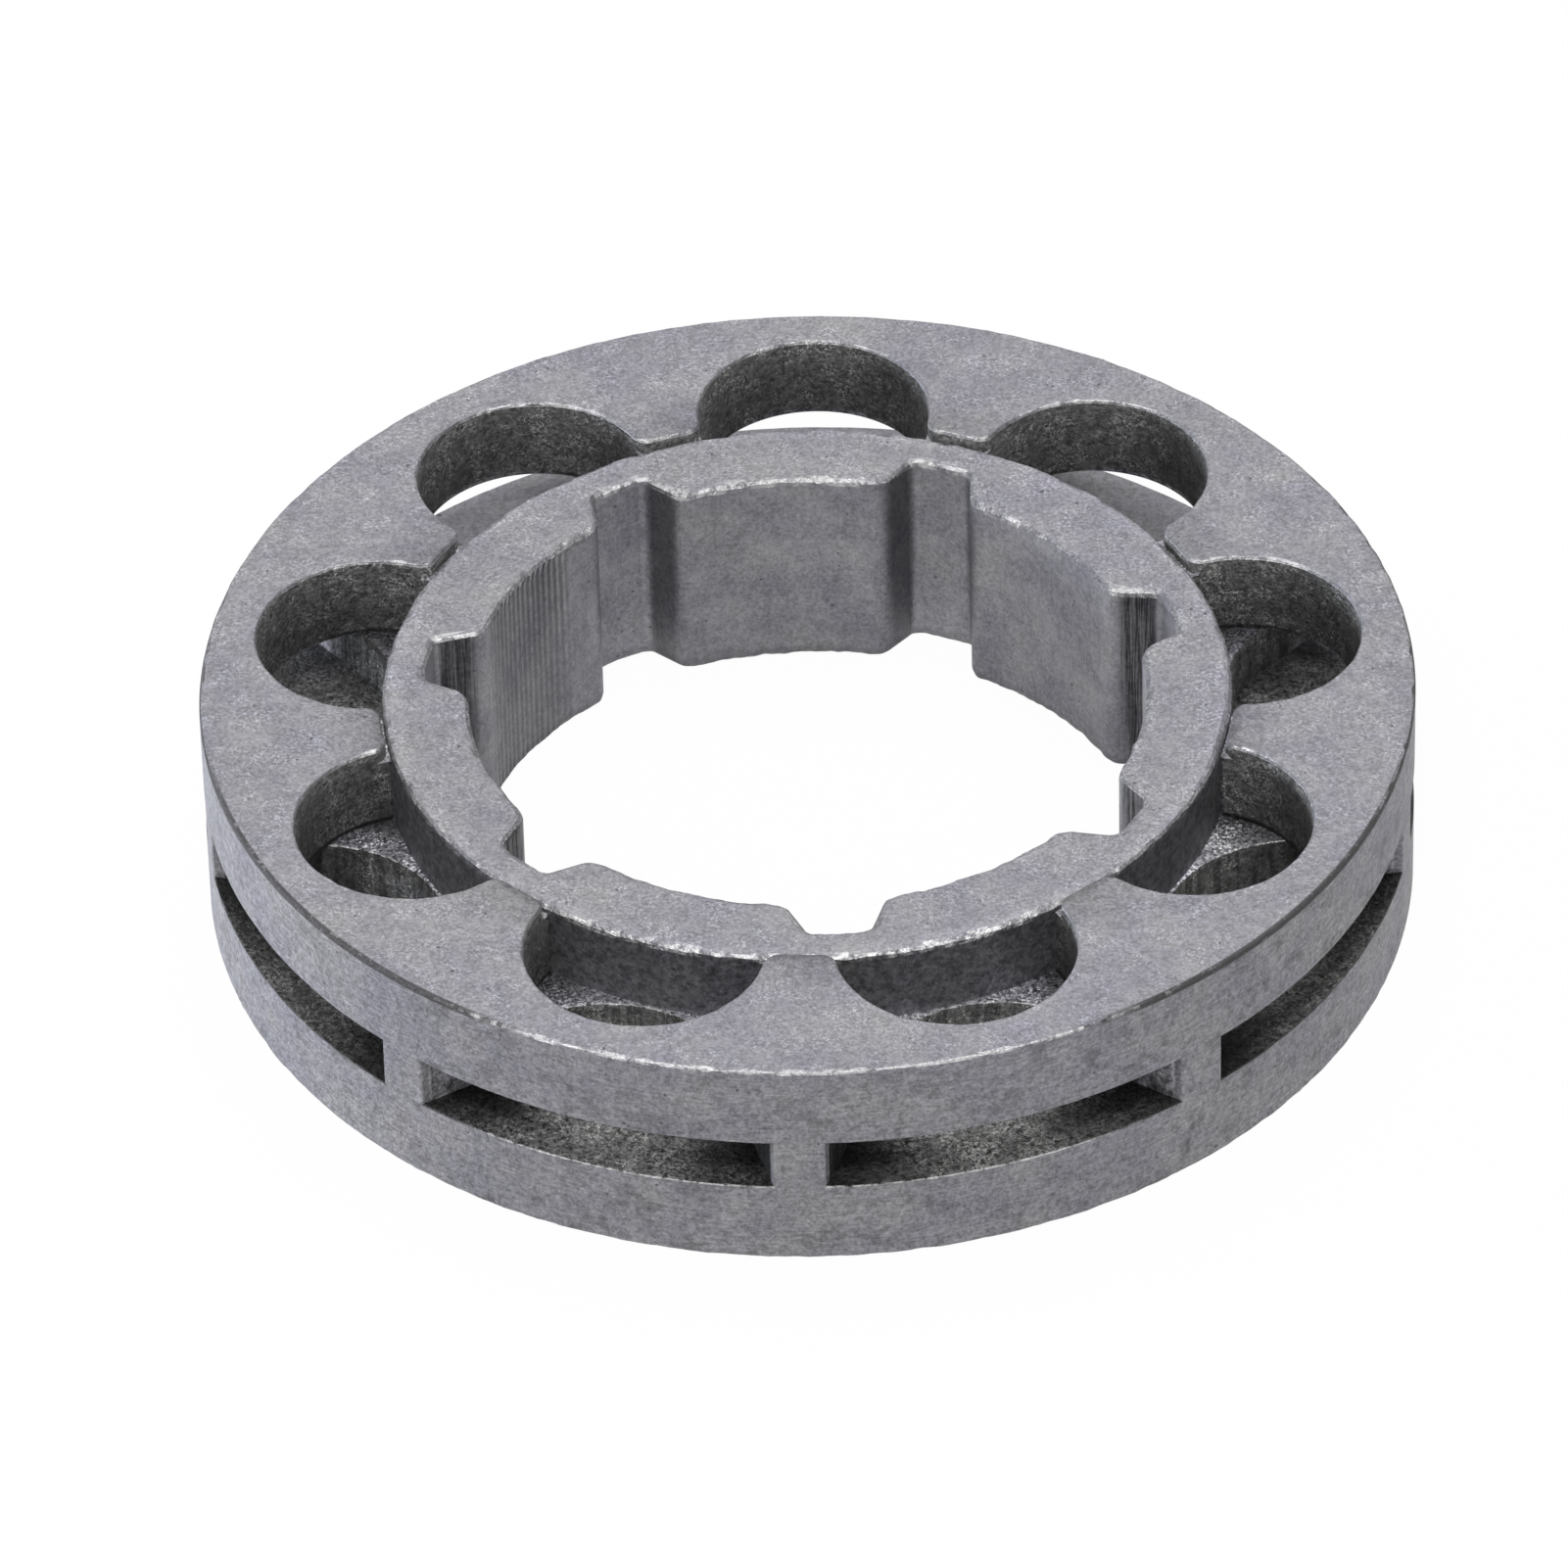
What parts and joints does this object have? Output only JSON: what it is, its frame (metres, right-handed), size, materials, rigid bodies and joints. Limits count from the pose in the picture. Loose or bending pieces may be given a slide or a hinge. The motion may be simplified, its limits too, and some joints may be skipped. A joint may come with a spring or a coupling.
{
  "type": "chainsaw rim sprocket",
  "caption": "Ring-shaped steel drive sprocket with a splined bore, round chip pockets in its upper flange and a windowed rim that a saw chain's drive links sink into.",
  "frame": {"origin": "centre of the lower face, on the bore's axis", "axes": "+Z along the bore towards the face with the pockets; the middle of a post lies at -Y"},
  "size_m": [0.04, 0.04, 0.0078],
  "materials": {
    "sintered_steel": "matte grey steel as sintered, with a fine grain and brighter worn edges"
  },
  "bodies": {
    "root": {"rim_sprocket": "sintered_steel"}
  },
  "joints": []
}
